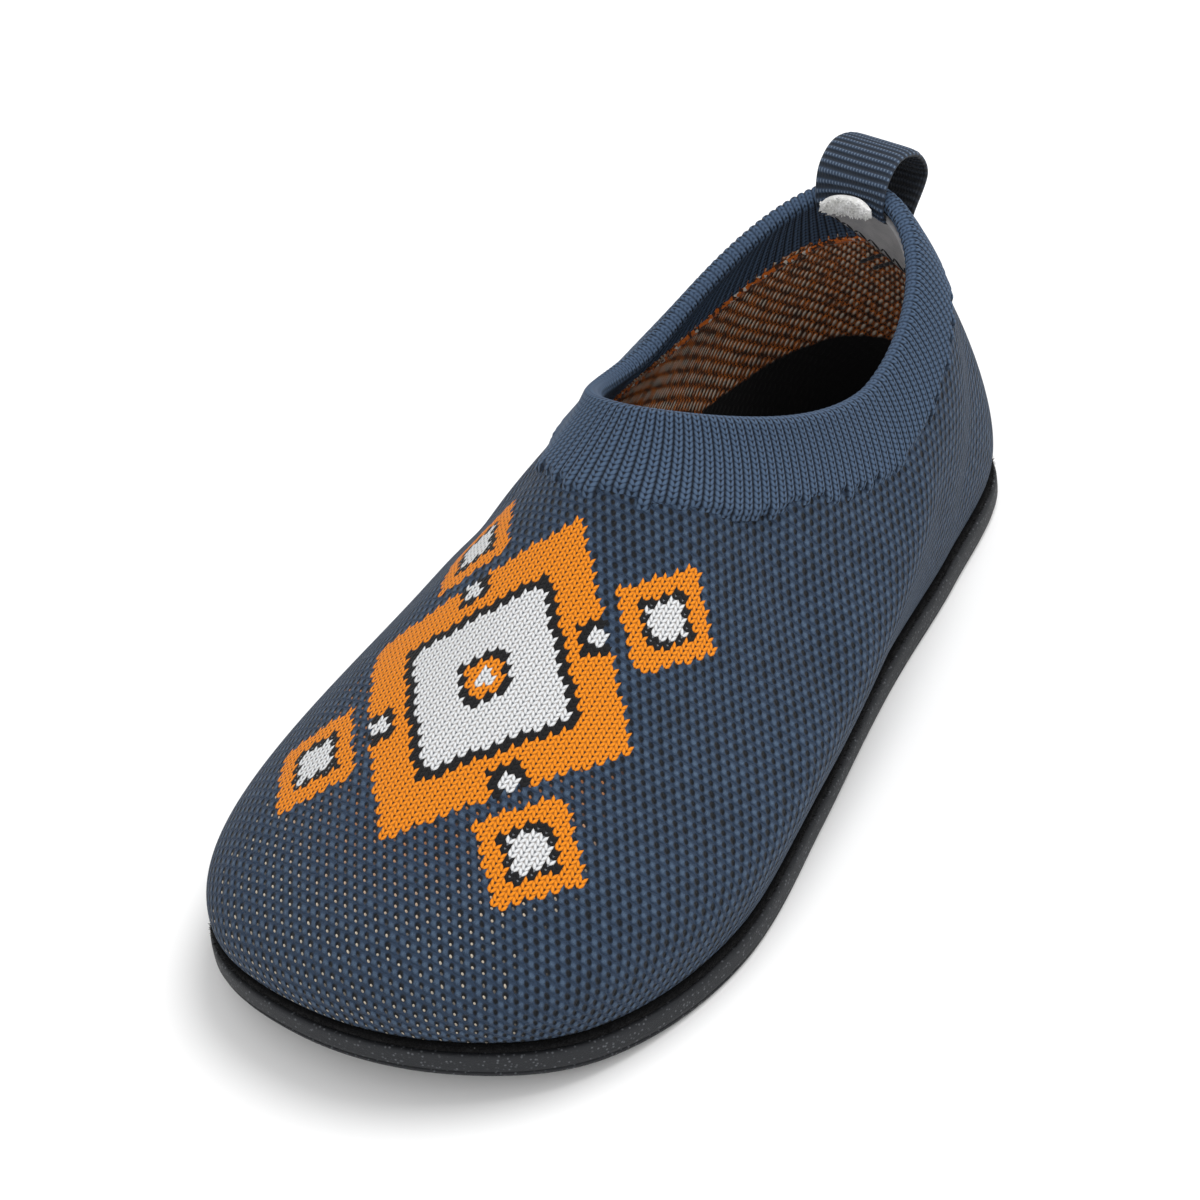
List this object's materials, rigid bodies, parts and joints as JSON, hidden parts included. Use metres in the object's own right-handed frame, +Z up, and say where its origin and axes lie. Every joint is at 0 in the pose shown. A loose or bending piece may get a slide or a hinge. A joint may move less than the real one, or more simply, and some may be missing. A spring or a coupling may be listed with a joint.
{
  "type": "barefoot shoe",
  "caption": "Child's slip-on barefoot shoe with a knitted upper, ribbed collar, heel pull loop and thin flexible rubber sole.",
  "frame": {"origin": "on the ground, below the middle of the shoe's bounding box", "axes": "+X from heel to toe, +Y to the outer side of the left foot, +Z up"},
  "size_m": [0.1654, 0.079, 0.0645],
  "materials": {
    "sole_rubber": "matt moulded charcoal rubber",
    "black_felt": "black needled felt and brushed lining",
    "navy_knit": "open jacquard knit of blue-grey polyester yarn",
    "grey_suede": "grey microfibre suede",
    "white_terry": "white brushed terry",
    "navy_webbing": "cross-ribbed woven webbing"
  },
  "bodies": {
    "root": {"outsole": "sole_rubber", "lasting_board": "black_felt", "insole": "black_felt", "upper": "navy_knit", "heel_patch": "grey_suede", "heel_pad": "white_terry", "pull_loop": "navy_webbing"}
  },
  "joints": []
}
